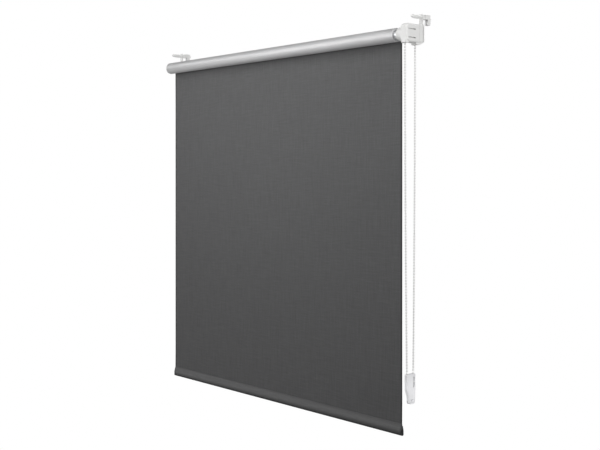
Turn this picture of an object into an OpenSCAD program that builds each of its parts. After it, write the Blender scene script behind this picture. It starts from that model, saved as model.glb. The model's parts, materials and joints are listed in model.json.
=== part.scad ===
// Clamp-on thermal roller blind with a bead chain drive.
// Modelled round the roller: X runs along it, +Y points at the window, +Z is up.
// placed() then moves everything so that the origin is the right clamp's seat on the window sash.

/* [Fabric] */
// Width of the cloth
fabric_w = 840; // [500:10:1400]
// Height from the roller's axis down to the bottom of the hem
drop = 842; // [500:2:1500]
// Thickness of the coated cloth
fabric_t = 0.4; // [0.3:0.1:0.6]
// Outer radius of the cloth that is still on the roller
roll_r = 15; // [14:0.5:20]
// Height of the hem pocket
hem_h = 25; // [18:1:30]
// Thickness of the hem pocket
hem_t = 6.5; // [6.5:0.5:12]

/* [Roller] */
// Outer radius of the roller tube
tube_r = 12.5; // [12:0.5:12.5]
// Wall of the roller tube
tube_wall = 1; // [0.8:0.1:1.2]
// How far the tube stands out of the cloth at the chain side
tube_over_right = 8; // [4:1:9]
// How far the tube stands out of the cloth at the idle side
tube_over_left = 1.5; // [1:0.5:3]

/* [Chain] */
// Distance from bead to bead
bead_pitch = 6; // [5.8:0.1:6.1]
// Diameter of a bead
bead_d = 4.5; // [4:0.1:4.5]
// Number of notches round the chain wheel
wheel_notches = 16; // [14:1:16]
// How far the chain's plane lies outboard of the cloth
chain_out = 36; // [34:1:40]

/* [Drive housing] */
// Half the housing's height, and its reach in front of the roller's axis
housing_r = 19.5; // [19.5:0.5:22]
// Reach of the housing behind the roller's axis
housing_back = 32.7; // [31:0.1:32.7]
// Thickness of the housing's walls
housing_wall = 1.5; // [1.4:0.1:1.6]
// Inboard face of the housing's round collar, outboard of the cloth
housing_in = 14; // [13:1:16]
// Radius of the collar
collar_r = 15.5; // [14:0.5:17]
// Outboard face of the housing, outboard of the cloth
housing_out = 45; // [44:1:50]

/* [Clamps] */
// Width of a clamp along the roller
clamp_w = 9; // [9:0.5:14]
// Gap between the pads that hold the sash, as stored
sash_gap = 13.5; // [11:0.5:16]
// Radius of the clamp screw's shank
screw_r = 2; // [1.5:0.1:2]
// Length of the thumb screw's knob
knob_len = 30; // [20:1:36]

/* [Chain weight] */
// Width of the chain weight
weight_w = 25; // [25:0.5:30]
// Thickness of the chain weight
weight_t = 7; // [7:0.2:10]
// Height of the top of the weight, below the roller's axis
weight_top = 704; // [600:1:900]
// Height of the chain weight
weight_h = 62; // [56:1:80]

/* [Hidden] */
$fn = 64;
fit = 0.08;          // radial play of a running fit
gap = 0.3;           // play between bodies that pass each other

fabric_x = fabric_w / 2;
tube_x1 = fabric_x + tube_over_right;
tube_x0 = -fabric_x - tube_over_left;
tube_in = tube_r - tube_wall;

chain_x = fabric_x + chain_out;
pitch_r = bead_pitch / (2 * sin(180 / wheel_notches));
bead_r = bead_d / 2;

// clamp cross-section, in Y and Z
leg_y = 32.7;        // front face of the bracket's plate
leg_t = 2.4;
leg_back = leg_y + leg_t;
pad_t = 1.2;
seat_z = 32;         // underside of the arm, which rests on the sash
arm_h = 8.4;
arm_w = clamp_w - 2.6;
arm_end = leg_back + 15.1;
jaw_front = leg_back + pad_t + sash_gap + pad_t;
jaw_t = 8;
jaw_back = jaw_front + jaw_t;
jaw_wall = 2.5;
lip_z = 21;          // lower end of the jaw and of the pads
clamp_top = seat_z + arm_h + 2;
pad_top = seat_z - 2.5;
screw_z = seat_z + arm_h / 2;
clamp_x_right = chain_x;
clamp_x_left = -fabric_x + 2;

seat = [clamp_x_right, 42, seat_z];

// drive side
wheel_x0 = chain_x - 4.5;
wheel_x1 = chain_x + 4.5;
wheel_rim = pitch_r + 1.4;
housing_x0 = fabric_x + housing_in;
housing_x1 = fabric_x + housing_out;
shell_x0 = chain_x - 7;
cover_x0 = shell_x0 - 3;
corner_r = 9;        // the housing's front corners
face_t = 2.5;
face_in = housing_x1 - face_t;
core_r = 6;
sleeve_in = 8.2;
sleeve_out = 9.6;
sleeve_x0 = fabric_x - 24;
plug_x0 = fabric_x - 28;
flange_t = 4;
boss_y = 26.2;
boss_z = housing_r - 5;
edge_r = 4.5;

// idle side
holder_x0 = -fabric_x - 9.5;
holder_x1 = -fabric_x - 4.8;
pin_r = 4;
nose_r = 2.5;

// bottom bar
panel_y = roll_r + 0.25;
hem_z0 = -drop;
hem_z1 = -drop + hem_h;
hem_wall = 0.5;
bar_t = 4;
bar_h = 13.7;
bar_wall = 1;

// chain weight
weight_z1 = -weight_top;
weight_z0 = weight_z1 - weight_h;
pulley_z = weight_z1 - 18;
pulley_r = 9;
axle_r = 2;
axle_reach = weight_t / 2 - 0.5;
fixing_r = 2.2;
fixing_y = 2.5;
fixing_z = weight_z0 + 7;
slug_y0 = -4.5;
slug_y1 = 9;
slug_z0 = weight_z1 - 47;
slug_z1 = weight_z1 - 34;

// The chain's route, [y, z] in its plane: down from the front guide, round the pulley
// and up to the rear guide. Its strands close in a little on their way down.
route = [
    [-15.4, -14], [-15.4, -34], [-15.3, -70], [-15.1, -130], [-14.8, -200], [-14.4, -270],
    [-13.9, -340], [-13.3, -410], [-12.6, -480], [-11.8, -550], [-10.9, -620], [-10, -680],
    [-9.1, -710], [-9, -722], [-8.3, -725.5], [-6.4, -728.4], [-3.4, -730.3], [0, -731],
    [3.4, -730.3], [6.4, -728.4], [8.3, -725.5], [9, -722], [9.1, -710], [10, -680],
    [10.9, -620], [11.8, -550], [12.6, -480], [13.3, -410], [13.9, -340], [14.4, -270],
    [14.8, -200], [15.1, -130], [15.3, -70], [15.4, -34], [15.4, -14]
];
ring_step = 24;      // longest stretch of chain without a ring
tube_sides = 8;

// ---------- helpers ----------

module placed() translate(-seat) children();

// a rod or tube along X, Y
module rod_x(r, x0, x1) translate([x0, 0, 0]) rotate([0, 90, 0]) cylinder(r = r, h = x1 - x0);
module rod_y(r, y0, y1) translate([0, y0, 0]) rotate([-90, 0, 0]) cylinder(r = r, h = y1 - y0);

module tube_x(r_out, r_in, x0, x1) {
    difference() {
        rod_x(r_out, x0, x1);
        rod_x(r_in, x0 - 1, x1 + 1);
    }
}

// a flat outline drawn in Y and Z, pushed along X from x0 to x1
module along_x(x0, x1) {
    translate([x0, 0, 0]) rotate([90, 0, 90]) linear_extrude(x1 - x0) children();
}

// a box between two corners
module box(low, high) translate(low) cube(high - low);

// a rectangle from low to high with round corners
module round_rect(low, high, r) {
    translate([low[0] + r, low[1]]) square([high[0] - low[0] - 2 * r, high[1] - low[1]]);
    translate([low[0], low[1] + r]) square([high[0] - low[0], high[1] - low[1] - 2 * r]);
    for (y = [low[0] + r, high[0] - r], z = [low[1] + r, high[1] - r])
        translate([y, z]) circle(r);
}

// points along an arc from angle a0 to a1
function arc(centre, r, a0, a1) = [
    for (a = [a0 : 15 : a1]) [centre[0] + r * cos(a), centre[1] + r * sin(a)]
];

// a tube swept through points, each in a plane of constant X, closed at both ends
module swept(points, r, sides, along) {
    last = len(points) - 1;
    function way(i) = points[min(i + 1, last)] - points[max(i - 1, 0)];
    function side(i) = let (w = cross(way(i), along)) w / norm(w);
    function ring(i) = [
        for (k = [0 : sides - 1])
            points[i] + r * (cos(360 * k / sides) * side(i) + sin(360 * k / sides) * along)
    ];
    polyhedron(
        points = [for (i = [0 : last]) each ring(i)],
        faces = [
            [for (k = [0 : sides - 1]) k],
            for (i = [0 : last - 1], k = [0 : sides - 1])
                let (a = i * sides + k, b = i * sides + (k + 1) % sides)
                    [a, a + sides, b + sides, b],
            [for (k = [sides - 1 : -1 : 0]) last * sides + k]
        ],
        convexity = 10
    );
}

// points along a helix about X
function helix_x(r, x0, x1, turns, steps) = [
    for (i = [0 : turns * steps])
        let (a = 360 * i / steps, t = i / (turns * steps))
            [x0 + (x1 - x0) * t, r * cos(a), r * sin(a)]
];

module coil_x(r, wire_r, x0, x1, turns) {
    steps = 16;
    points = helix_x(r, x0, x1, turns, steps);
    last = len(points) - 1;
    sides = 6;
    function out(i) = [0, points[i][1], points[i][2]] / r;
    function ring(i) = [
        for (k = [0 : sides - 1])
            points[i] + wire_r * (cos(360 * k / sides) * out(i) + sin(360 * k / sides) * [1, 0, 0])
    ];
    polyhedron(
        points = [for (i = [0 : last]) each ring(i)],
        faces = [
            [for (k = [sides - 1 : -1 : 0]) k],
            for (i = [0 : last - 1], k = [0 : sides - 1])
                let (a = i * sides + k, b = i * sides + (k + 1) % sides)
                    [a, b, b + sides, a + sides],
            [for (k = [0 : sides - 1]) last * sides + k]
        ],
        convexity = 20
    );
}

// ---------- clamps ----------

// A bracket: the plate behind the roller's end, the leg up from it and the arm over the sash.
module bracket(x, plate_x0, plate_x1, screw_xs, screw_zs) {
    difference() {
        union() {
            translate([0, leg_back, 0]) rotate([90, 0, 0]) linear_extrude(leg_t)
                round_rect([plate_x0, -17], [plate_x1, lip_z], 3);
            box([x - clamp_w / 2, leg_y, 10], [x + clamp_w / 2, leg_back, clamp_top]);
            box([x - arm_w / 2, leg_back - 1, seat_z], [x + arm_w / 2, arm_end, seat_z + arm_h]);
        }
        translate([x, 0, screw_z]) rod_y(screw_r + fit, leg_y - 1, arm_end + 1);
        for (sx = screw_xs, sz = screw_zs) translate([sx, 0, sz]) {
            rod_y(1.6, leg_y - 1, leg_back + 1);
            rod_y(3, leg_back - 1.2, leg_back + 1);
        }
    }
}

// A jaw: an open-bottomed sleeve that slides over the arm, with the lip behind the sash.
module clamp_jaw(x) {
    sleeve_y0 = leg_back + 8;
    difference() {
        union() {
            box([x - clamp_w / 2, sleeve_y0, seat_z + gap], [x + clamp_w / 2, jaw_back, clamp_top]);
            box([x - clamp_w / 2, jaw_front, lip_z], [x + clamp_w / 2, jaw_back, seat_z + 1]);
        }
        box([x - arm_w / 2 - gap, sleeve_y0 - 1, seat_z - gap],
            [x + arm_w / 2 + gap, jaw_back - jaw_wall, seat_z + arm_h + gap]);
        translate([x, 0, screw_z]) rod_y(screw_r + fit, jaw_back - jaw_wall - 1, jaw_back + 1);
        // the lip is hollowed from behind, as a moulded hook is
        box([x - clamp_w / 2 + 1.6, jaw_front + 2.4, lip_z + 1.6],
            [x + clamp_w / 2 - 1.6, jaw_back + 1, seat_z - 2]);
    }
}

// A thumb screw: a slender fluted knob in front of the leg and a shank that pulls the jaw.
module clamp_screw(x) {
    knob_y1 = leg_y - gap;
    knob_y0 = knob_y1 - knob_len;
    flutes = 8;
    translate([x, 0, screw_z]) {
        rod_y(screw_r, knob_y1 - 1, jaw_back + 5);
        difference() {
            translate([0, knob_y1, 0]) rotate([90, 0, 0]) rotate_extrude()
                polygon([[0, 0], [4.2, 0], [4.2, 2.5], [3.4, 3.5], [4.2, 8], [4.1, knob_len - 12],
                         [3.1, knob_len - 4], [1.6, knob_len - 0.6], [0, knob_len]]);
            for (k = [0 : flutes - 1]) rotate([0, 360 * k / flutes, 0])
                translate([4.7, 0, 0]) rod_y(0.9, knob_y0 - 1, knob_y1 - 6);
        }
    }
}

module front_pad(x)
    box([x - clamp_w / 2 + 0.6, leg_back, 7], [x + clamp_w / 2 - 0.6, leg_back + pad_t, pad_top]);

module jaw_pad(x)
    box([x - clamp_w / 2 + 0.6, jaw_front - pad_t, lip_z + 0.6],
        [x + clamp_w / 2 - 0.6, jaw_front, pad_top]);

// countersunk screws from behind the bracket into what it carries
module bracket_screws(screw_xs, screw_zs) {
    for (sx = screw_xs, sz = screw_zs) translate([sx, 0, sz]) {
        rod_y(1.5, leg_y - 4, leg_back - 1);
        difference() {
            rod_y(2.8, leg_back - 1.1, leg_back - 0.1);
            box([-2, leg_back - 0.5, -0.3], [2, leg_back + 1, 0.3]);
            box([-0.3, leg_back - 0.5, -2], [0.3, leg_back + 1, 2]);
        }
    }
}

right_screw_xs = [shell_x0 + 3.5, housing_x1 - 4.5];
right_screw_zs = [0];
left_screw_xs = [-fabric_x + 4];
left_screw_zs = [-9, 9];

module right_bracket()
    color("white") bracket(clamp_x_right, cover_x0, housing_x1 - 1, right_screw_xs, right_screw_zs);
module left_bracket()
    color("white") bracket(clamp_x_left, holder_x0, -fabric_x + 9, left_screw_xs, left_screw_zs);
module right_clamp_jaw() color("whitesmoke") clamp_jaw(clamp_x_right);
module left_clamp_jaw() color("whitesmoke") clamp_jaw(clamp_x_left);
module right_clamp_screw() color("gainsboro") clamp_screw(clamp_x_right);
module left_clamp_screw() color("gainsboro") clamp_screw(clamp_x_left);
module right_front_pad() color("darkgray") front_pad(clamp_x_right);
module left_front_pad() color("darkgray") front_pad(clamp_x_left);
module right_jaw_pad() color("darkgray") jaw_pad(clamp_x_right);
module left_jaw_pad() color("darkgray") jaw_pad(clamp_x_left);
module right_bracket_screws() color("silver") bracket_screws(right_screw_xs, right_screw_zs);
module left_bracket_screws() color("silver") bracket_screws(left_screw_xs, left_screw_zs);

// ---------- chain drive ----------

// The housing's side view: generous corners in front and a flat back.
module housing_outline(inset) {
    r = housing_r - inset;
    round_rect([-r, -r], [housing_back / 2, r], corner_r - inset);
    translate([0, -r]) square([housing_back - 4, 2 * r]);
    round_rect([4, -r], [housing_back - inset, r], 3);
}

// The shell's outer form: the same view, with its outboard edges rounded over.
module housing_form() {
    depth = housing_x1 - shell_x0;
    x = housing_x1 - edge_r;
    y = housing_back - edge_r;
    z = housing_r - edge_r;
    c = housing_r - corner_r;
    for (side = [-1, 1]) translate([shell_x0, -c, side * c]) rotate([0, 90, 0]) rotate_extrude() {
        square([corner_r, depth - edge_r]);
        square([corner_r - edge_r, depth]);
        translate([corner_r - edge_r, depth - edge_r]) circle(edge_r);
    }
    box([shell_x0, -housing_r, -c], [x, y, c]);
    box([shell_x0, -c, -housing_r], [x, y, housing_r]);
    box([shell_x0, 0, -z], [x, housing_back, z]);
    box([shell_x0, -z, -c], [housing_x1, y, c]);
    box([shell_x0, -c, -z], [housing_x1, y, z]);
    translate([x, -z, -c]) cylinder(r = edge_r, h = 2 * c);
    translate([x, y, -z]) cylinder(r = edge_r, h = 2 * z);
    for (side = [-1, 1]) translate([0, 0, side * z]) {
        translate([x, 0, 0]) rod_y(edge_r, -c, y);
        translate([0, y, 0]) rod_x(edge_r, shell_x0, x);
        translate([x, y, 0]) sphere(edge_r);
    }
}

// the two chutes under the housing that guide the chain
module chain_guides() {
    along_x(chain_x - 7, housing_x1 - 2) {
        round_rect([-housing_r, -21.5], [-11, -2], 2);
        polygon([[11, -2], [11, -21.5], [13, -23.5], [20, -23.5], [31, -19.5], [31, -2]]);
    }
}

module chain_channels() {
    along_x(chain_x - bead_r - 0.9, chain_x + bead_r + 0.9)
        for (side = [-1, 1]) translate([side * (pitch_r + 0.1) - bead_r - 0.5, -30])
            square([bead_d + 1, 30]);
}

// the space inside the shell, round the posts that take the cover's screws
module housing_cavity() {
    r = housing_r - housing_wall;
    along_x(shell_x0 - 1, face_in) difference() {
        union() {
            round_rect([-r, -r], [housing_back / 2, r], corner_r - housing_wall);
            translate([0, -r]) square([housing_back - 3, 2 * r]);
        }
        for (side = [-1, 1]) {
            translate([boss_y, side * boss_z]) circle(3.65);
            translate([boss_y, side * boss_z - 1]) square([8, 2]);
        }
    }
}

module housing_shell() {
    color("white") difference() {
        union() {
            housing_form();
            chain_guides();
        }
        housing_cavity();
        chain_channels();
        // blind screw holes in the posts, and the holes that the bracket's screws enter
        for (side = [-1, 1]) translate([0, boss_y, side * boss_z]) rod_x(1.2, shell_x0 - 1, shell_x0 + 12);
        for (sx = right_screw_xs, sz = right_screw_zs)
            translate([sx, 0, sz]) rod_y(1.5, housing_back - 4, housing_back + 1);
        // square socket that holds the clutch core still
        box([face_in - 1, -4, -4], [face_in + 1.5, 4, 4]);
        // two long slots in the outer face, and the shallow line in front of its back part
        along_x(face_in - 1, housing_x1 + 1)
            for (z = [6.4, -11.2]) round_rect([-14.5, z], [7.5, z + 2.2], 1);
        box([housing_x1 - 0.4, 19, -housing_r], [housing_x1 + 1, 19.7, housing_r]);
    }
}

module housing_cover() {
    color("white") difference() {
        union() {
            along_x(cover_x0, shell_x0) housing_outline(1.2);
            rod_x(collar_r, housing_x0, cover_x0 + 1);
        }
        rod_x(sleeve_out + gap, housing_x0 - 1, shell_x0 + 1);
        rod_x(collar_r - 2, housing_x0 - 1, cover_x0 - 1);
        for (side = [-1, 1]) translate([0, boss_y, side * boss_z]) {
            rod_x(1.5, cover_x0 - 1, shell_x0 + 1);
            rod_x(2.8, cover_x0 - 1, cover_x0 + 1.6);
        }
    }
}

module housing_screws() {
    color("silver") for (side = [-1, 1]) translate([0, boss_y, side * boss_z]) {
        rod_x(1.2, cover_x0 + 1, shell_x0 + 10);
        difference() {
            rod_x(2.6, cover_x0 + 0.2, cover_x0 + 1.6);
            box([cover_x0 - 1, -2, -0.3], [cover_x0 + 0.9, 2, 0.3]);
            box([cover_x0 - 1, -0.3, -2], [cover_x0 + 0.9, 0.3, 2]);
        }
    }
}

// the fixed spindle that the wrap springs grip
module clutch_core() {
    color("lightgray") {
        rod_x(core_r, sleeve_x0 + 2, face_in);
        rod_x(4, plug_x0 - 2, sleeve_x0 + 2);
        box([face_in, -4, -4], [face_in + 1.5, 4, 4]);
    }
}

// the wheel the beads run over, and the open sleeve by which it turns the drive plug
module chain_wheel() {
    color("gainsboro") difference() {
        union() {
            rod_x(wheel_rim, wheel_x0, wheel_x1);
            rod_x(sleeve_out, sleeve_x0, wheel_x0);
        }
        rod_x(core_r + fit, wheel_x0 - 2, wheel_x1 + 1);
        rod_x(sleeve_in, sleeve_x0 - 1, wheel_x0 - 2);
        // the groove for the beads
        translate([chain_x, 0, 0]) rotate([0, 90, 0]) rotate_extrude()
            translate([pitch_r, 0]) circle(bead_r + gap);
        tube_x(wheel_rim + 1, pitch_r, chain_x - bead_r - gap, chain_x + bead_r + gap);
        // notches in both rims
        for (k = [0 : wheel_notches - 1]) rotate([360 * (k + 0.5) / wheel_notches, 0, 0])
            translate([0, 0, wheel_rim]) rod_x(0.8, wheel_x0 - 1, wheel_x1 + 1);
        // window in the sleeve for the springs' ends and the plug's rib
        box([sleeve_x0 - 1, -sleeve_out - 1, 3], [tube_x1 + 1, sleeve_out + 1, sleeve_out + 1]);
    }
}

// a spring round the core, from and to measured from the sleeve's end
module wrap_spring(from, to) coil_x(core_r + fit + 0.65, 0.5, sleeve_x0 + from, sleeve_x0 + to, 6);
module wrap_spring_inner() color("slategray") wrap_spring(4, 12);
module wrap_spring_outer() color("slategray") wrap_spring(16, 24);

// the plug that the wheel turns, pushed into the tube
module drive_plug() {
    color("whitesmoke") {
        difference() {
            union() {
                rod_x(tube_in - 0.6, plug_x0, tube_x1);
                rod_x(tube_r + 1, tube_x1, tube_x1 + flange_t);
                for (a = [0 : 45 : 315]) rotate([a, 0, 0])
                    box([plug_x0 + 2, -0.7, 9], [tube_x1, 0.7, tube_in]);
            }
            rod_x(4 + fit, plug_x0 - 1, plug_x0 + 4);
            rod_x(sleeve_out + gap, plug_x0 + 3, tube_x1 + flange_t + 1);
        }
        // the rib in the wheel's window
        intersection() {
            tube_x(sleeve_out + 1, 7.6, plug_x0 + 2, tube_x1);
            box([plug_x0 + 2, -2, 0], [tube_x1, 2, 12]);
        }
    }
}

// ---------- roller ----------

module roller_tube() color("silver") tube_x(tube_r, tube_in, tube_x0, tube_x1);

// the sticky strip under the first turn of cloth
module tape_shape(grow) {
    intersection() {
        tube_x(tube_r + 0.2 + grow, tube_r, -fabric_x + 2 - grow, fabric_x - 2 + grow);
        box([-fabric_x, -6 - grow, 0], [fabric_x, 6 + grow, tube_r + 1]);
    }
}
module fabric_tape() color("ivory") tape_shape(0);

module fabric_roll() {
    color("lightgray") difference() {
        tube_x(roll_r, tube_r, -fabric_x, fabric_x);
        tape_shape(0.05);
    }
}

// ---------- idle end ----------

module idle_plug() {
    color("whitesmoke") difference() {
        union() {
            rod_x(tube_in - 0.6, tube_x0, tube_x0 + 35);
            rod_x(tube_r + 1, tube_x0 - 2, tube_x0);
            for (a = [0 : 45 : 315]) rotate([a, 0, 0]) box([tube_x0, -0.7, 9], [tube_x0 + 33, 0.7, tube_in]);
        }
        rod_x(pin_r + fit, tube_x0 - 3, tube_x0 + 12);
        rod_x(7, tube_x0 + 10, tube_x0 + 32.1);
        rod_x(8.5, tube_x0 + 32, tube_x0 + 36);
    }
}

module idle_plug_cap() {
    color("whitesmoke") rod_x(8.5, tube_x0 + 32, tube_x0 + 35);
}

// the sprung pin: pushed in to drop the roller into its holder
module idle_pin() {
    color("silver") {
        rod_x(nose_r, holder_x1 - 3.4, tube_x0 - 1);
        rod_x(pin_r, tube_x0 - 1.6, tube_x0 + 11);
        rod_x(6.6, tube_x0 + 10.4, tube_x0 + 12.4);
        rod_x(2.6, tube_x0 + 12.4, tube_x0 + 20);
    }
}

module idle_spring() color("slategray") coil_x(4.6, 0.5, tube_x0 + 13, tube_x0 + 31.4, 8);

// the plate that the pin's nose sits in
module idle_holder() {
    color("white") difference() {
        union() {
            along_x(holder_x0, holder_x1) {
                circle(9);
                translate([0, -9]) square([leg_y - 3, 18]);
                round_rect([leg_y - 8, -14], [leg_y, 14], 2);
            }
            // foot against the bracket
            box([holder_x0, leg_y - 3, -14], [-fabric_x + 8, leg_y, 14]);
        }
        rod_x(nose_r + fit, holder_x1 - 3.7, holder_x1 + 1);
        for (sx = left_screw_xs, sz = left_screw_zs)
            translate([sx, 0, sz]) rod_y(1.5, leg_y - 8, leg_y + 1);
    }
}

// ---------- curtain ----------

module fabric_panel() {
    color("dimgray")
        box([-fabric_x, panel_y - fabric_t / 2, hem_z1 + 0.1], [fabric_x, panel_y + fabric_t / 2, 0]);
}

// The hem's section: round at the bottom and drawn in to the seam at the top.
module hem_section(inset, top_half, top) {
    r = hem_t / 2 - inset;
    c = hem_z0 + hem_t / 2;
    half = [[0.94 * hem_t / 2 - inset, c + 8], [0.5 * hem_t / 2 - inset, c + 14], [top_half, top]];
    polygon(concat(
        arc([panel_y, c], r, 180, 360),
        [for (p = half) [panel_y + p[0], p[1]]],
        [for (i = [2 : -1 : 0]) [panel_y - half[i][0], half[i][1]]]
    ));
}

module hem_pocket() {
    color("dimgray") along_x(-fabric_x, fabric_x) difference() {
        hem_section(0, 0.6, hem_z1);
        hem_section(hem_wall, 0.1, hem_z1 - 3.5);
    }
}

// the bar's section, shrunk by inset
module bar_section(inset) {
    round_rect([panel_y - bar_t / 2 + inset, hem_z0 + 0.8 + inset],
               [panel_y + bar_t / 2 - inset, hem_z0 + 0.8 + bar_h - inset], bar_t / 2 - inset - 0.01);
}

module bottom_bar() {
    color("lightgray") along_x(-fabric_x + 0.2, fabric_x - 0.2) difference() {
        bar_section(0);
        bar_section(bar_wall);
    }
}

module bar_cap(side) {
    color([0.12, 0.12, 0.12]) mirror([side < 0 ? 1 : 0, 0, 0]) {
        along_x(fabric_x, fabric_x + 1.6) hem_section(0.3, 0.5, hem_z1 - 4);
        along_x(fabric_x - 12, fabric_x) bar_section(bar_wall + 0.1);
    }
}
module bar_cap_right() bar_cap(1);
module bar_cap_left() bar_cap(-1);

// ---------- chain and its weight ----------

// the beads over the wheel, as one round cord
module chain_top() {
    color("white") translate([chain_x, 0, 0]) {
        rotate([0, 90, 0]) rotate([0, 0, 90]) rotate_extrude(angle = 180)
            translate([pitch_r, 0]) circle(bead_r);
        for (side = [-1, 1]) translate([0, side * pitch_r, -14]) cylinder(r = bead_r, h = 14);
    }
}

// the route with rings put in where its points lie far apart
function steps_of(a, b) = max(1, ceil(norm(b - a) / ring_step));
function fine_route() = [
    for (i = [0 : len(route) - 2])
        let (a = route[i], b = route[i + 1], n = steps_of(a, b))
            for (k = [0 : n - 1]) a + (b - a) * k / n,
    route[len(route) - 1]
];

module chain_loop() {
    color("white") translate([chain_x, 0, 0])
        swept([for (p = fine_route()) [0, p[0], p[1]]], bead_r, tube_sides, [1, 0, 0]);
}

// The weight's outline: a wide head for the pulley. Its front edge draws in to a narrower tail.
module weight_outline() {
    w = weight_w / 2;
    tail_y0 = -6.5;
    tail_y1 = w - 1;
    polygon(concat(
        arc([w - 3, weight_z1 - 3], 3, 0, 90),
        arc([3 - w, weight_z1 - 3], 3, 90, 180),
        [[-w, weight_z1 - 31], [tail_y0 - 1.5, weight_z1 - 44], [tail_y0, weight_z1 - 52]],
        arc([tail_y0 + 4, weight_z0 + 4], 4, 180, 270),
        arc([tail_y1 - 4, weight_z0 + 4], 4, 270, 360),
        [[w, weight_z1 - 31]]
    ));
}

module weight_half(side) {
    wall = 1;
    mid = chain_x + side * 0.05;
    outer = chain_x + side * weight_t / 2;
    difference() {
        along_x(min(mid, outer), max(mid, outer)) weight_outline();
        // room for the chain and its pulley, open at the top
        along_x(side > 0 ? mid - 1 : outer + wall, side > 0 ? outer - wall : mid + 1) {
            round_rect([-weight_w / 2 + wall, weight_z1 - 31], [weight_w / 2 - wall, weight_z1 - 6], 2);
            for (s = [-1, 1]) translate([s * 9.1 - bead_r - 0.4, weight_z1 - 20])
                square([bead_d + 0.8, 22]);
            // room for the steel slug
            round_rect([slug_y0 - 0.1, slug_z0 - 0.1], [slug_y1 + 0.1, slug_z1 + 0.1], 1);
        }
        translate([0, fixing_y, fixing_z]) rod_x(fixing_r, chain_x - weight_t, chain_x + weight_t);
        translate([0, 0, pulley_z]) rod_x(axle_r, chain_x - axle_reach, chain_x + axle_reach);
        // a window beside the rear strand
        along_x(side > 0 ? outer - 1.5 : outer - 1, side > 0 ? outer + 1 : outer + 1.5)
            round_rect([6.5, weight_z1 - 29], [10, weight_z1 - 6.5], 1.7);
        // a shallow finger dish in the lower face, and a thinner foot
        along_x(side > 0 ? outer - 0.45 : outer - 1, side > 0 ? outer + 1 : outer + 0.45) {
            round_rect([-4.5, weight_z0 + 11], [5.5, weight_z1 - 33], 2);
            translate([-weight_w, weight_z0 - 1]) square([2 * weight_w, 4]);
        }
    }
}
module weight_half_inner() color("white") weight_half(-1);
module weight_half_outer() color("white") weight_half(1);

module weight_pulley() {
    half_w = weight_t / 2 - 1 - gap;
    color("gainsboro") translate([0, 0, pulley_z]) difference() {
        rod_x(pulley_r + 0.6, chain_x - half_w, chain_x + half_w);
        rod_x(axle_r + fit, chain_x - weight_t, chain_x + weight_t);
        translate([chain_x, 0, 0]) rotate([0, 90, 0]) rotate_extrude()
            translate([pulley_r, 0]) circle(bead_r + 0.3);
        tube_x(pulley_r + 3, pulley_r, chain_x - bead_r - 0.3, chain_x + bead_r + 0.3);
    }
}

module weight_axle() {
    color("silver") translate([0, 0, pulley_z]) rod_x(axle_r, chain_x - axle_reach, chain_x + axle_reach);
}

module weight_slug() {
    color("slategray") along_x(chain_x - 2.4, chain_x + 2.4)
        round_rect([slug_y0, slug_z0], [slug_y1, slug_z1], 1);
}

// ---------- assembly ----------

placed() right_bracket();
placed() right_clamp_jaw();
placed() right_clamp_screw();
placed() right_front_pad();
placed() right_jaw_pad();
placed() right_bracket_screws();
placed() left_bracket();
placed() left_clamp_jaw();
placed() left_clamp_screw();
placed() left_front_pad();
placed() left_jaw_pad();
placed() left_bracket_screws();
placed() idle_holder();
placed() housing_shell();
placed() housing_cover();
placed() housing_screws();
placed() clutch_core();
placed() chain_wheel();
placed() wrap_spring_inner();
placed() wrap_spring_outer();
placed() drive_plug();
placed() roller_tube();
placed() fabric_tape();
placed() fabric_roll();
placed() idle_plug();
placed() idle_plug_cap();
placed() idle_pin();
placed() idle_spring();
placed() fabric_panel();
placed() hem_pocket();
placed() bottom_bar();
placed() bar_cap_right();
placed() bar_cap_left();
placed() chain_top();
placed() chain_loop();
placed() weight_half_inner();
placed() weight_half_outer();
placed() weight_pulley();
placed() weight_axle();
placed() weight_slug();
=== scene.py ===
"""Looks for the clamp-on roller blind: its cloth, bead chain, springs, materials, light and camera.

Everything is in metres, in the CAD's frame: the origin is the right clamp's seat on the window sash,
+X runs along the roller, +Y points at the window and +Z is up.
"""

import json
import math

import bpy
import numpy as np
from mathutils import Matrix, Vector, noise


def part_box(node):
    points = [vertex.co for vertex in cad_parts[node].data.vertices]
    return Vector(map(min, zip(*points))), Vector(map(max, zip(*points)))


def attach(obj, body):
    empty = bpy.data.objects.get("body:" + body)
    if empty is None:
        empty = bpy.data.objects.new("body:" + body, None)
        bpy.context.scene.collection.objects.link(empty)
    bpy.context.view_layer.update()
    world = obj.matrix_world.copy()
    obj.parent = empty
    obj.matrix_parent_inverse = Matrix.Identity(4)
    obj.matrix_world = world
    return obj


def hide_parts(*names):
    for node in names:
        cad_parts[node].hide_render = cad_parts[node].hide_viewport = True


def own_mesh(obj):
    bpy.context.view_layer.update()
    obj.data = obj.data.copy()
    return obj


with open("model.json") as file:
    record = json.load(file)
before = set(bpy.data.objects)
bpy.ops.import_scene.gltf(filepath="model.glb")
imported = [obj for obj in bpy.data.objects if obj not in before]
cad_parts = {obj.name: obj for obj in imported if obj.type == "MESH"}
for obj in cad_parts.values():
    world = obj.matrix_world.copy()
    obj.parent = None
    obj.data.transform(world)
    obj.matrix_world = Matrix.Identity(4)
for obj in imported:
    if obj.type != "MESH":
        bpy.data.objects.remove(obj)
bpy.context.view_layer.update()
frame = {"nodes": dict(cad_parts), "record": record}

MM = 0.001

# boxes from the frame that the drawn pieces and the materials are placed by
WHEEL_LOW, WHEEL_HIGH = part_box("chain_top")
PANEL_LOW, PANEL_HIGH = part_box("fabric_panel")
ROLL_LOW, ROLL_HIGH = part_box("fabric_roll")
HEM_LOW, HEM_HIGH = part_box("hem_pocket")
TUBE_LOW, TUBE_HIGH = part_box("roller_tube")
WEIGHT_LOW, WEIGHT_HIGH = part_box("weight_half_outer")

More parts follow.
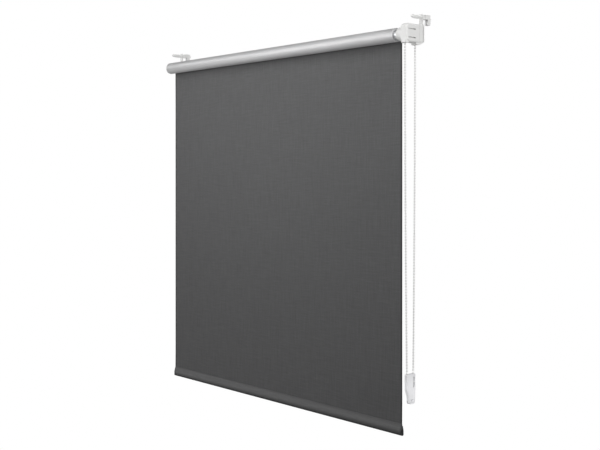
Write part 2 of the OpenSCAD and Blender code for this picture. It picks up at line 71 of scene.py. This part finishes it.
# the roller's axis, the chain's plane and the cloth's size
AXIS_Y = (ROLL_LOW.y + ROLL_HIGH.y) / 2
AXIS_Z = (ROLL_LOW.z + ROLL_HIGH.z) / 2
CHAIN_X = (WHEEL_LOW.x + WHEEL_HIGH.x) / 2
CLOTH_X0, CLOTH_X1 = PANEL_LOW.x, PANEL_HIGH.x
CLOTH_MIDDLE = (CLOTH_X0 + CLOTH_X1) / 2
CLOTH_W = CLOTH_X1 - CLOTH_X0
PANEL_Y = (PANEL_LOW.y + PANEL_HIGH.y) / 2
CLOTH_T = PANEL_HIGH.y - PANEL_LOW.y
ROLL_R = (ROLL_HIGH.z - ROLL_LOW.z) / 2
TUBE_R = (TUBE_HIGH.z - TUBE_LOW.z) / 2

# bead chain
BEAD_D = 4.5 * MM
BEAD_PITCH = 6 * MM
CORD_R = 0.6 * MM
# the wheel's notches, and the radius at which it carries the beads
NOTCHES = 16
PITCH_R = BEAD_PITCH / (2 * math.sin(math.pi / NOTCHES))

# The chain's route in its plane, (y, z) in millimetres from the roller's axis: down from the front
# guide, round the weight's pulley and up to the rear guide.
ROUTE = [
    (-15.4, -14), (-15.4, -34), (-15.3, -70), (-15.1, -130), (-14.8, -200), (-14.4, -270),
    (-13.9, -340), (-13.3, -410), (-12.6, -480), (-11.8, -550), (-10.9, -620), (-10, -680),
    (-9.1, -710), (-9, -722), (-8.3, -725.5), (-6.4, -728.4), (-3.4, -730.3), (0, -731),
    (3.4, -730.3), (6.4, -728.4), (8.3, -725.5), (9, -722), (9.1, -710), (10, -680),
    (10.9, -620), (11.8, -550), (12.6, -480), (13.3, -410), (13.9, -340), (14.4, -270),
    (14.8, -200), (15.1, -130), (15.3, -70), (15.4, -34), (15.4, -14),
]


def at(x, y, z):
    """A point given from the roller's axis."""
    return Vector((x, AXIS_Y + y, AXIS_Z + z))


def half_turn(steps):
    """Even angles from 0 to half a turn, both ends included."""
    return [math.pi * k / steps for k in range(steps + 1)]


# ---------- camera ----------

def add_camera():
    """The photo's camera: level, with its frame shifted down, so that upright edges stay upright."""
    data = bpy.data.cameras.new("camera")
    data.sensor_width = 36
    data.lens = 58.38
    data.shift_y = -0.0786
    data.clip_end = 50
    camera = bpy.data.objects.new("camera", data)
    camera.location = (1.3533, -1.5452, -0.3311)
    camera.rotation_euler = (math.radians(90), 0, math.radians(48.45))
    bpy.context.scene.collection.objects.link(camera)
    bpy.context.scene.camera = camera


add_camera()


# ---------- node materials ----------

# short names for the shader's sockets that Shade.set takes
SOCKETS = {
    "metallic": "Metallic", "roughness": "Roughness", "specular": "Specular IOR Level",
    "coat": "Coat Weight", "coat_roughness": "Coat Roughness", "sheen": "Sheen Weight",
    "sheen_roughness": "Sheen Roughness", "anisotropic": "Anisotropic",
}


class Shade:
    """A new material's node tree, with short names for the nodes that the finishes share."""

    def __init__(self, name):
        self.material = bpy.data.materials.new(name)
        self.material.use_nodes = True
        self.tree = self.material.node_tree
        self.shader = self.tree.nodes["Principled BSDF"]
        coordinates = self.tree.nodes.new("ShaderNodeTexCoord")
        self.place = coordinates.outputs["Object"]

    def link(self, a, b):
        self.tree.links.new(a, b)

    def set(self, **values):
        """Sets the shader's own sockets, by their short names."""
        for name, value in values.items():
            self.shader.inputs[SOCKETS[name]].default_value = value

    def scaled(self, x, y, z):
        """The place with each axis scaled, which packs or stretches a pattern along it."""
        mapping = self.tree.nodes.new("ShaderNodeMapping")
        mapping.inputs["Scale"].default_value = (x, y, z)
        self.link(self.place, mapping.inputs["Vector"])
        return mapping.outputs["Vector"]

    def noise(self, scale, detail, roughness=0.5, stretch=(1, 1, 1)):
        node = self.tree.nodes.new("ShaderNodeTexNoise")
        node.inputs["Scale"].default_value = scale
        node.inputs["Detail"].default_value = detail
        node.inputs["Roughness"].default_value = roughness
        self.link(self.scaled(*stretch), node.inputs["Vector"])
        return node.outputs["Fac"]

    def range(self, value, low, high, to_low, to_high):
        """The value taken from one range to another, and held at its ends."""
        node = self.tree.nodes.new("ShaderNodeMapRange")
        for name, number in zip(("From Min", "From Max", "To Min", "To Max"), (low, high, to_low, to_high)):
            node.inputs[name].default_value = number
        self.link(value, node.inputs["Value"])
        return node.outputs["Result"]

    def math(self, kind, a, b=None):
        node = self.tree.nodes.new("ShaderNodeMath")
        node.operation = kind
        for socket, value in zip(node.inputs, (a, b)):
            if isinstance(value, (int, float)):
                socket.default_value = value
            elif value is not None:
                self.link(value, socket)
        return node.outputs["Value"]

    def mix(self, factor, a, b):
        node = self.tree.nodes.new("ShaderNodeMix")
        node.data_type = "RGBA"
        node.inputs["A"].default_value = (*a, 1)
        node.inputs["B"].default_value = (*b, 1)
        self.link(factor, node.inputs["Factor"])
        return node.outputs["Result"]

    def axis(self, letter):
        """The place along one axis, in metres."""
        node = self.tree.nodes.new("ShaderNodeSeparateXYZ")
        self.link(self.place, node.inputs["Vector"])
        return node.outputs[letter]

    def wave(self, letter, pitch):
        """1 at the top of each thread and -1 between threads, along one axis."""
        return self.math("SINE", self.math("MULTIPLY", self.axis(letter), 2 * math.pi / pitch))

    def colour(self, output):
        self.link(output, self.shader.inputs["Base Color"])

    def roughness(self, output):
        self.link(output, self.shader.inputs["Roughness"])

    def bump(self, height, distance, strength):
        node = self.tree.nodes.new("ShaderNodeBump")
        node.inputs["Distance"].default_value = distance
        node.inputs["Strength"].default_value = strength
        self.link(height, node.inputs["Height"])
        self.link(node.outputs["Normal"], self.shader.inputs["Normal"])


def moulded(name, tone, rough, mark=0.02):
    """Injection-moulded plastic: a drift in tone by the share mark, uneven gloss and a fine grain."""
    s = Shade(name)
    darker = tuple(c * (1 - mark) for c in tone)
    s.colour(s.mix(s.noise(40, 4), darker, tone))
    s.roughness(s.range(s.noise(260, 5, 0.6), 0.3, 0.7, rough - 0.06, rough + 0.08))
    s.bump(s.noise(2600, 2), 0.02 * MM, 0.5)
    return s


def white_plastic():
    s = moulded("white_plastic", (0.83, 0.83, 0.82), 0.34)
    s.set(coat=0.12, coat_roughness=0.25)
    return s.material


def inner_plastic():
    return moulded("inner_plastic", (0.80, 0.80, 0.78), 0.5).material


def dark_plastic():
    return moulded("dark_plastic", (0.022, 0.022, 0.024), 0.5, 0.2).material


def chain_plastic():
    return moulded("chain_plastic", (0.81, 0.81, 0.8), 0.32).material


def weight_plastic():
    s = moulded("weight_plastic", (0.82, 0.82, 0.835), 0.3)
    s.set(coat=0.15, coat_roughness=0.2)
    return s.material


def darker_sides(s):
    """1 over the cloth, falling to 0.2 between 5 and 3 mm from its heat-cut sides, which darkens a band
    along each side.
    """
    from_middle = s.math("ABSOLUTE", s.math("SUBTRACT", s.axis("X"), CLOTH_MIDDLE))
    return s.range(from_middle, CLOTH_W / 2 - 5 * MM, CLOTH_W / 2 - 3 * MM, 1, 0.2)


def woven(s, rough, lit_share, tone):
    """Plain-woven dark grey polyester: crossing threads, with slubs and streaks along them. Where
    lit_share falls from 1 the cloth darkens, and tone scales its lightest grey."""
    pitch = 0.8 * MM
    weave = s.math("MULTIPLY", s.wave("X", pitch), s.wave("Z", pitch))
    slubs = s.noise(1, 3, 0.6, (28, 28, 900))
    streaks = s.noise(1, 3, 0.6, (700, 28, 22))
    threads = s.math("ADD", s.math("MULTIPLY", slubs, 0.5), s.math("MULTIPLY", streaks, 0.5))
    shade = s.math("ADD", s.math("MULTIPLY", weave, 0.10), threads)
    lit = s.math("MULTIPLY", s.range(shade, 0.25, 0.75, 0.45, 1), lit_share)
    s.colour(s.mix(lit, (0.045, 0.045, 0.046), (0.152 * tone, 0.152 * tone, 0.154 * tone)))
    s.set(roughness=rough, sheen=0.04, sheen_roughness=0.5)
    s.bump(s.math("ADD", s.math("MULTIPLY", weave, 0.5), threads), 0.12 * MM, 0.6)
    return s.material


def cloth_front():
    s = Shade("cloth_front")
    s.set(specular=0.15)
    return woven(s, 0.85, darker_sides(s), 1)


def cloth_hem():
    """The same cloth drawn tight over the bar, where it's smoother and catches more light, with
    painted shade darkening it, and less shine, towards the bottom edge."""
    s = Shade("cloth_hem")
    # painted shade: 0 at the hem's bottom edge and 1 from 12 mm up, darkening its colour and its shine
    # below that
    above_painted_shade = s.range(s.axis("Z"), HEM_LOW.z + 2 * MM, HEM_LOW.z + 12 * MM, 0, 1)
    s.link(s.math("MULTIPLY", above_painted_shade, 0.9), s.shader.inputs[SOCKETS["specular"]])
    return woven(s, 0.52, s.math("MULTIPLY", darker_sides(s), above_painted_shade), 0.85)


def cloth_coating():
    """The silver thermal coating: smooth, with the weave just printing through."""
    s = Shade("cloth_coating")
    drift = s.noise(14, 4, 0.55, (0.3, 1, 1))
    s.colour(s.mix(drift, (0.60, 0.60, 0.605), (0.68, 0.68, 0.685)))
    s.roughness(s.range(s.noise(90, 4, 0.6, (0.2, 1, 1)), 0.3, 0.7, 0.48, 0.58))
    s.set(metallic=0.6)
    s.bump(s.noise(1400, 2), 0.03 * MM, 0.5)
    return s.material


def cloth_weld():
    """The pressed line along the hem's top: ribbed and a little shinier than the cloth."""
    s = Shade("cloth_weld")
    ribs = s.wave("X", 1.2 * MM)
    s.colour(s.mix(s.range(ribs, -1, 1, 0, 1), (0.12, 0.12, 0.122), (0.17, 0.17, 0.172)))
    s.set(roughness=0.6, specular=0.2)
    s.bump(ribs, 0.03 * MM, 0.5)
    return s.material


def tape():
    return moulded("tape", (0.82, 0.80, 0.72), 0.55, 0.06).material


def tube_aluminium():
    """Mill-finish aluminium: fine die lines along the extrusion."""
    s = Shade("tube_aluminium")
    lines = s.noise(1, 4, 0.6, (2, 900, 900))
    s.colour(s.mix(lines, (0.68, 0.69, 0.70), (0.80, 0.81, 0.82)))
    s.roughness(s.range(lines, 0.3, 0.7, 0.28, 0.42))
    s.set(metallic=1, anisotropic=0.3)
    s.bump(lines, 0.01 * MM, 0.4)
    return s.material


def steel():
    """Zinc-plated steel, faintly mottled."""
    s = Shade("steel")
    mottle = s.noise(500, 4, 0.6)
    s.colour(s.mix(mottle, (0.52, 0.53, 0.54), (0.66, 0.66, 0.66)))
    s.roughness(s.range(mottle, 0.3, 0.7, 0.26, 0.4))
    s.set(metallic=1)
    return s.material


def pad_rubber():
    """Pale, matt and faintly speckled."""
    s = Shade("pad_rubber")
    speckle = s.noise(900, 4, 0.7)
    s.colour(s.mix(speckle, (0.80, 0.80, 0.80), (0.87, 0.87, 0.87)))
    s.set(roughness=0.8)
    s.bump(speckle, 0.06 * MM, 0.7)
    return s.material


MATERIALS = {
    make.__name__: make()
    for make in (white_plastic, inner_plastic, dark_plastic, chain_plastic, weight_plastic, cloth_front,
                 cloth_hem, cloth_coating, cloth_weld, tape, tube_aluminium, steel, pad_rubber)
}


# ---------- mesh helpers ----------

def piece_from(name, vertices, faces, materials, indices=None):
    """A smooth mesh object from points and faces, with one material index per face if given."""
    mesh = bpy.data.meshes.new(name)
    mesh.from_pydata([tuple(v) for v in vertices], [], faces)
    for material in materials:
        mesh.materials.append(MATERIALS[material])
    if indices is not None:
        mesh.polygons.foreach_set("material_index", indices)
    mesh.polygons.foreach_set("use_smooth", [True] * len(mesh.polygons))
    mesh.update()
    piece = bpy.data.objects.new(name, mesh)
    bpy.context.scene.collection.objects.link(piece)
    return piece


def finish_piece(piece, body, slot, *nodes):
    """Puts a piece on its body, in the place of CAD nodes; its slot is not used."""
    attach(piece, body)
    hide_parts(*nodes)
    return piece


def sheet_mesh(name, grid, thickness, materials):
    """Cloth of real thickness over a grid of points. Its two faces are the grid moved half the
    thickness either way, with the first material in front or outside and the second on the other."""
    grid = np.array(grid, float)
    rows, columns = grid.shape[:2]
    normal = np.cross(np.gradient(grid, axis=0), np.gradient(grid, axis=1))
    normal /= np.linalg.norm(normal, axis=2, keepdims=True)
    vertices = np.concatenate([
        (grid + normal * thickness / 2).reshape(-1, 3), (grid - normal * thickness / 2).reshape(-1, 3)])
    back = rows * columns
    faces, indices = [], []

    def put(a, b, c, d, index):
        faces.append((a, b, c, d))
        indices.append(index)

    for i in range(rows - 1):
        below = i + 1
        for j in range(columns - 1):
            a, b = i * columns + j, i * columns + j + 1
            c, d = below * columns + j + 1, below * columns + j
            put(d, c, b, a, 0)
            put(back + a, back + b, back + c, back + d, 1)
        first, last = i * columns, i * columns + columns - 1
        next_first, next_last = below * columns, below * columns + columns - 1
        put(back + first, back + next_first, next_first, first, 0)
        put(next_last, back + next_last, back + last, last, 0)
    bottom = (rows - 1) * columns
    for j in range(columns - 1):
        put(j + 1, back + j + 1, back + j, j, 0)
        put(back + bottom + j, back + bottom + j + 1, bottom + j + 1, bottom + j, 0)
    return piece_from(name, vertices, faces, materials, indices)


def smooth_path(points, step):
    """Points about a step apart on a Catmull-Rom curve through the given ones."""
    out = []
    last = len(points) - 1
    for i in range(last):
        p0, p1, p2, p3 = (points[min(max(k, 0), last)] for k in (i - 1, i, i + 1, i + 2))
        count = max(1, round((p2 - p1).length / step))
        for k in range(count):
            t = k / count
            out.append(0.5 * (2 * p1 + (p2 - p0) * t + (2 * p0 - 5 * p1 + 4 * p2 - p3) * t * t
                              + (3 * p1 - p0 - 3 * p2 + p3) * t ** 3))
    out.append(points[last])
    return out


def path_length(points):
    """The sum of a path's steps."""
    return sum((b - a).length for a, b in zip(points, points[1:]))


def along(points, distances):
    """The point and the direction at each distance along a path."""
    found = []
    walked, i = 0.0, 0
    for distance in distances:
        while i < len(points) - 2 and walked + (points[i + 1] - points[i]).length < distance:
            walked += (points[i + 1] - points[i]).length
            i += 1
        way = points[i + 1] - points[i]
        found.append((points[i] + way.normalized() * (distance - walked), way.normalized()))
    return found


def tube_mesh(points, radius, sides):
    """Vertices and faces of a round tube along a path, closed at both ends."""
    vertices, faces = [], []
    last = len(points) - 1
    side = None
    for i, point in enumerate(points):
        way = (points[min(i + 1, last)] - points[max(i - 1, 0)]).normalized()
        if side is None:
            side = way.orthogonal().normalized()
        side = (side - way * side.dot(way)).normalized()
        other = way.cross(side)
        for k in range(sides):
            turn = 2 * math.pi * k / sides
            vertices.append(point + radius * (math.cos(turn) * side + math.sin(turn) * other))
    for i in range(last):
        for k in range(sides):
            a, b = i * sides + k, i * sides + (k + 1) % sides
            faces.append((a, b, b + sides, a + sides))
    faces.append(tuple(range(sides - 1, -1, -1)))
    faces.append(tuple(last * sides + k for k in range(sides)))
    return vertices, faces


# ---------- bead chain ----------

BEAD_SIDES = 16
CORD_SIDES = 8
# a bead's outline from pole to pole, as (along, out) shares of its radius, with a flat where the
# cord leaves it
BEAD_OUTLINE = [(math.cos(a), math.sin(a)) for a in half_turn(10)[1:-1]]


def add_bead(vertices, faces, centre, way):
    """Adds one bead to a piece's points and faces, with its poles along way."""
    side = Vector((1, 0, 0))
    other = way.cross(side)
    start = len(vertices)
    radius = BEAD_D / 2
    for forward, out in BEAD_OUTLINE:
        for k in range(BEAD_SIDES):
            turn = 2 * math.pi * k / BEAD_SIDES
            spoke = math.cos(turn) * side + math.sin(turn) * other
            vertices.append(centre + radius * (forward * way + out * spoke))
    for i in range(len(BEAD_OUTLINE) - 1):
        for k in range(BEAD_SIDES):
            a, b = start + i * BEAD_SIDES + k, start + i * BEAD_SIDES + (k + 1) % BEAD_SIDES
            faces.append((a, b, b + BEAD_SIDES, a + BEAD_SIDES))
    faces.append(tuple(start + k for k in range(BEAD_SIDES - 1, -1, -1)))
    end = start + (len(BEAD_OUTLINE) - 1) * BEAD_SIDES
    faces.append(tuple(end + k for k in range(BEAD_SIDES)))


def chain_piece(name, path, distances):
    """A cord along a path, with a bead at each distance."""
    vertices, faces = tube_mesh(path, CORD_R, CORD_SIDES)
    for centre, way in along(path, distances):
        add_bead(vertices, faces, centre, way)
    return piece_from(name, vertices, faces, ["chain_plastic"])


def add_chain():
    """The chain in two pieces: the beads that hang, and those in the housing over the wheel."""
    hanging = smooth_path([at(CHAIN_X, y * MM, z * MM) for y, z in ROUTE], 3 * MM)
    length = path_length(hanging)
    guide_depth = -ROUTE[0][1] * MM
    # two beads on each side hang between the wheel and the guide, so the third is the first outside
    first = 3 * BEAD_PITCH - guide_depth
    count = round((length - 2 * first) / BEAD_PITCH)
    spacing = (length - 2 * first) / count
    chain = chain_piece("bead_chain", hanging, [first + spacing * k for k in range(count + 1)])
    finish_piece(chain, "brackets", "chain_plastic", "chain_loop")

    arc = [at(CHAIN_X, -PITCH_R * math.cos(a), PITCH_R * math.sin(a)) for a in half_turn(48)]
    over = [at(CHAIN_X, -PITCH_R, -guide_depth), *arc, at(CHAIN_X, PITCH_R, -guide_depth)]
    run = path_length(arc)
    beads = [guide_depth - 2 * BEAD_PITCH, guide_depth - BEAD_PITCH]
    beads += [guide_depth + run * k / (NOTCHES // 2) for k in range(NOTCHES // 2 + 1)]
    beads += [guide_depth + run + BEAD_PITCH, guide_depth + run + 2 * BEAD_PITCH]
    top = chain_piece("beads_on_wheel", over, beads)
    finish_piece(top, "brackets", "chain_plastic", "chain_top")


add_chain()


# ---------- cloth ----------

# the narrow first step of a sheet's grid at each edge
RIM = 0.3 * MM


def edge_fade(distance, reach):
    """0 at an edge and 1 from reach inwards, smooth at both ends."""
    t = min(max(distance / reach, 0), 1)
    return t * t * (3 - 2 * t)


def steps_between(a, b, count):
    """Even steps from a to b, with a narrow one at each end so that the light turns only there."""
    rim = math.copysign(RIM, b - a)
    return np.concatenate([[a], np.linspace(a + rim, b - rim, count), [b]])


def panel_wave(x, z, top, bottom):
    """How far the hanging cloth strays towards the window: slow folds and a slight curl at its sides.
    The roll and the hem hold it flat near them."""
    near_roll, near_hem, near_side, curl_reach = 0.12, 0.05, 0.12, 0.006
    free = edge_fade(top - z, near_roll) * edge_fade(z - bottom, near_hem)
    from_side = CLOTH_W / 2 - abs(x - CLOTH_MIDDLE)
    inside = edge_fade(from_side, near_side)
    slow = noise.noise(Vector((x * 3.2, 4.1, z * 0.8))) * 1.5 * MM
    drape = noise.noise(Vector((x * 9.0, 7.7, z * 1.6))) * 0.3 * MM
    curl = 0.4 * MM * math.exp(-from_side / curl_reach)
    return free * ((slow + drape) * (0.2 + 0.8 * inside) + curl)


def add_panel():
    """The hanging cloth, with its columns closer together where its sides curl."""
    top, bottom = PANEL_HIGH.z, PANEL_LOW.z
    side = np.array([0, 0.3, 1.5, 3, 5, 8, 12, 18, 26, 36]) * MM
    inset = 0.046
    middle = np.linspace(CLOTH_X0 + inset, CLOTH_X1 - inset, 75)
    columns = np.concatenate([CLOTH_X0 + side, middle, (CLOTH_X1 - side)[::-1]])
    rows = steps_between(top, bottom, 96)
    grid = [[(x, PANEL_Y + panel_wave(x, z, top, bottom), z) for x in columns] for z in rows]
    panel = sheet_mesh("cloth_panel", grid, CLOTH_T, ["cloth_front", "cloth_coating"])
    finish_piece(panel, "brackets", "cloth_front", "fabric_panel")
    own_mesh(panel)
    return panel


def add_roll():
    """The cloth left on the roller, a true spiral from the panel's tangent down to the tube. It's
    drawn a little thin, so that its turns don't touch."""
    turns = (ROLL_R - TUBE_R) / CLOTH_T
    steps_per_turn = 60
    columns = steps_between(CLOTH_X0, CLOTH_X1, 43)
    grid = []
    for i in range(round(turns * steps_per_turn) + 1):
        angle = 2 * math.pi * i / steps_per_turn
        radius = ROLL_R - CLOTH_T / 2 - CLOTH_T * angle / (2 * math.pi)
        row = []
        for x in columns:
            r = radius
            if i < steps_per_turn:
                r -= 0.06 * MM * (1 + noise.noise(Vector((x * 14, math.cos(angle), math.sin(angle)))))
            row.append(at(x, r * math.cos(angle), r * math.sin(angle)))
        grid.append(row)
    roll = sheet_mesh("cloth_roll", grid, CLOTH_T * 0.96, ["cloth_coating", "cloth_front"])
    finish_piece(roll, "roller", "cloth_coating", "fabric_roll")


# half the hem's section. Its weld at the top is (out, down from the top) in millimetres, and its
# bulge below that is (share of the half thickness, up from the bottom in millimetres).
HEM_WELD = [(0.45, 0), (0.55, 2.5), (0.85, 5)]
HEM_SIDE = [(0.5, 17), (0.78, 14.5), (0.95, 12), (1, 9.5), (0.95, 7), (0.86, 4.8), (0.78, 2.6)]


def hem_outline():
    """The hem's section from its front seam, round the bar and up to its back seam, as (y, z)."""
    half = (HEM_HIGH.y - HEM_LOW.y) / 2 - CLOTH_T / 2
    middle = (HEM_HIGH.y + HEM_LOW.y) / 2
    bottom = HEM_LOW.z + CLOTH_T / 2
    side = [(out * MM, HEM_HIGH.z - down * MM) for out, down in HEM_WELD]
    side += [(share * half, bottom + up * MM) for share, up in HEM_SIDE]
    low_out, low_z = side[-1]
    front = [Vector((0, middle - out, z)) for out, z in side]
    back = [Vector((0, middle + out, z)) for out, z in reversed(side)]
    turn = [
        Vector((0, middle - low_out * math.cos(a), low_z - (low_z - bottom) * math.sin(a)))
        for a in half_turn(12)[1:-1]
    ]
    return smooth_path(front + turn + back, 1.2 * MM)


def add_hem():
    """The hem folded round its bar, with the weld's material on its top."""
    outline = hem_outline()
    columns = steps_between(CLOTH_X0, CLOTH_X1, 141)
    grid = []
    for point in outline:
        row = []
        slack = edge_fade(HEM_HIGH.z - point.z, 8 * MM) * edge_fade(point.z - HEM_LOW.z, 4 * MM)
        for x in columns:
            pull = noise.noise(Vector((x * 26, point.y * 60, point.z * 20))) * 0.25 * MM * slack
            row.append((x, point.y + pull, point.z))
        grid.append(row)
    hem = sheet_mesh("hem_sleeve", grid, CLOTH_T, ["cloth_hem", "cloth_coating"])
    hem.data.materials.append(MATERIALS["cloth_weld"])
    weld_index = len(hem.data.materials) - 1
    weld_bottom = HEM_HIGH.z - 3 * MM
    for face in hem.data.polygons:
        if face.center.z > weld_bottom:
            face.material_index = weld_index
    finish_piece(hem, "bottom_rail", "cloth_front", "hem_pocket")
    return hem


cloth_panel = add_panel()
add_roll()
hem_sleeve = add_hem()


# ---------- springs ----------

WIRE_R = 0.5 * MM
WIRE_SIDES = 10
WIRE_STEPS_PER_TURN = 24


def add_spring(name, node, turns, body):
    """A smooth wire coil in the space of a CAD spring."""
    low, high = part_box(node)
    radius = (high.z - low.z) / 2 - WIRE_R
    middle_y, middle_z = (low.y + high.y) / 2, (low.z + high.z) / 2
    steps = turns * WIRE_STEPS_PER_TURN
    points = []
    for i in range(steps + 1):
        a = 2 * math.pi * turns * i / steps
        x = low.x + WIRE_R + (high.x - low.x - 2 * WIRE_R) * i / steps
        points.append(Vector((x, middle_y + radius * math.cos(a), middle_z + radius * math.sin(a))))
    vertices, faces = tube_mesh(points, WIRE_R, WIRE_SIDES)
    return finish_piece(piece_from(name, vertices, faces, ["steel"]), body, "steel", node)


def add_springs():
    """Both wrap springs of the clutch, and the idle pin's spring, which shortens as the pin goes in."""
    add_spring("drive_spring_inner", "wrap_spring_inner", 6, "wheel")
    add_spring("drive_spring_outer", "wrap_spring_outer", 6, "wheel")
    idle = add_spring("idle_coil", "idle_spring", 8, "roller")
    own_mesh(idle)


add_springs()


# ---------- CAD nodes ----------

# how far each finish's edges are rounded, in millimetres
BEVELS = {"white_plastic": 0.3, "inner_plastic": 0.15, "dark_plastic": 0.25, "weight_plastic": 0.4,
          "steel": 0.08, "pad_rubber": 0.15}


def round_edges(piece, width):
    """Small rounded edges, with the CAD faces' separate meshes joined first."""
    weld = piece.modifiers.new("weld", "WELD")
    weld.merge_threshold = 0.002 * MM
    bevel = piece.modifiers.new("edges", "BEVEL")
    bevel.width = width
    bevel.segments = 2
    bevel.limit_method = "ANGLE"
    bevel.angle_limit = math.radians(40)
    bevel.harden_normals = True


def dress_nodes():
    """Gives each CAD node its material, and rounds the edges of those that show, as BEVELS says."""
    for part in frame["record"]["subparts"]:
        piece = frame["nodes"][part["node"]]
        finish = part["material_slot"]
        piece.data.materials.clear()
        piece.data.materials.append(MATERIALS[finish])
        if finish in BEVELS and not piece.hide_render:
            round_edges(piece, BEVELS[finish] * MM)


dress_nodes()


# ---------- stage and light ----------

def show_camera(tree, lit, seen, surface):
    """Gives one shader to the light and another to the camera."""
    rays = tree.nodes.new("ShaderNodeLightPath")
    mix = tree.nodes.new("ShaderNodeMixShader")
    tree.links.new(rays.outputs["Is Camera Ray"], mix.inputs["Fac"])
    tree.links.new(lit, mix.inputs[1])
    tree.links.new(seen, mix.inputs[2])
    tree.links.new(mix.outputs["Shader"], surface)


def glowing_floor():
    """Pale floor far under the blind, which the camera sees as white."""
    material = bpy.data.materials.new("floor")
    material.use_nodes = True
    nodes = material.node_tree.nodes
    shader = nodes["Principled BSDF"]
    shader.inputs["Base Color"].default_value = (0.85, 0.85, 0.85, 1)
    shader.inputs["Roughness"].default_value = 0.9
    glow = nodes.new("ShaderNodeEmission")
    glow.inputs["Strength"].default_value = 1.0
    show_camera(material.node_tree, shader.outputs["BSDF"], glow.outputs["Emission"],
                nodes["Material Output"].inputs["Surface"])
    return material


def add_floor():
    """The stage: a wide floor that isn't part of the blind."""
    bpy.ops.mesh.primitive_plane_add(size=30, location=(CLOTH_X0, 0, -2.2))
    floor = bpy.context.object
    floor.name = "floor"
    floor.data.materials.append(glowing_floor())


def add_world():
    """White behind the blind, with a softer light on it from all round."""
    world = bpy.data.worlds.new("studio")
    bpy.context.scene.world = world
    world.use_nodes = True
    nodes = world.node_tree.nodes
    ambient = nodes["Background"]
    ambient.inputs["Color"].default_value = (1, 1, 1, 1)
    ambient.inputs["Strength"].default_value = 0.24
    seen = nodes.new("ShaderNodeBackground")
    seen.inputs["Color"].default_value = (1, 1, 1, 1)
    show_camera(world.node_tree, ambient.outputs["Background"], seen.outputs["Background"],
                nodes["World Output"].inputs["Surface"])


def add_lamp(data, place, aim, power):
    """A lamp at one point that looks at another."""
    data.energy = power
    lamp = bpy.data.objects.new(data.name, data)
    lamp.location = place
    lamp.rotation_euler = (Vector(aim) - Vector(place)).to_track_quat("-Z", "Y").to_euler()
    bpy.context.scene.collection.objects.link(lamp)


def add_light(name, place, aim, size, power):
    """A round soft light, with its size in metres and its power in watts."""
    data = bpy.data.lights.new(name, "AREA")
    data.shape = "DISK"
    data.size = size
    add_lamp(data, place, aim, power)


def add_spot(name, place, aim, degrees, power):
    """A narrow light for one small part."""
    data = bpy.data.lights.new(name, "SPOT")
    data.spot_size = math.radians(degrees)
    data.spot_blend = 0.3
    data.shadow_soft_size = 0.02
    add_lamp(data, place, aim, power)


add_floor()
add_world()
add_light("key", (-0.15, -0.8, 0.55), (-0.4, 0, -0.05), 0.6, 3.6)
add_light("front_left", (-0.85, -0.75, -0.04), (-0.65, 0, -0.05), 0.5, 1.8)
add_light("front_right", (-0.2, -0.75, -0.04), (-0.35, 0, -0.05), 0.5, 1.4)
add_light("upper_left", (-2.5, -1.25, 0.62), (-0.45, 0, -0.05), 1.2, 6)
add_light("side", (1.1, -0.15, 0.9), (0.03, -0.04, -0.1), 0.5, 7)
add_light("low_side", (1.2, -0.05, -0.35), (0.0, -0.04, -0.72), 0.5, 7)
add_light("left", (-1.8, -1.0, -1.2), (-0.85, 0, -0.85), 0.8, 2)
weight_middle = (WEIGHT_LOW + WEIGHT_HIGH) / 2
add_spot("weight_spot", (0.45, -0.95, -0.6), weight_middle + Vector((0.015, 0, 0)), 3.8, 24)
add_light("back", (-0.5, 1.6, 0.8), (-0.45, 0, -0.4), 1.0, 15)
bpy.context.scene.view_settings.view_transform = "Standard"
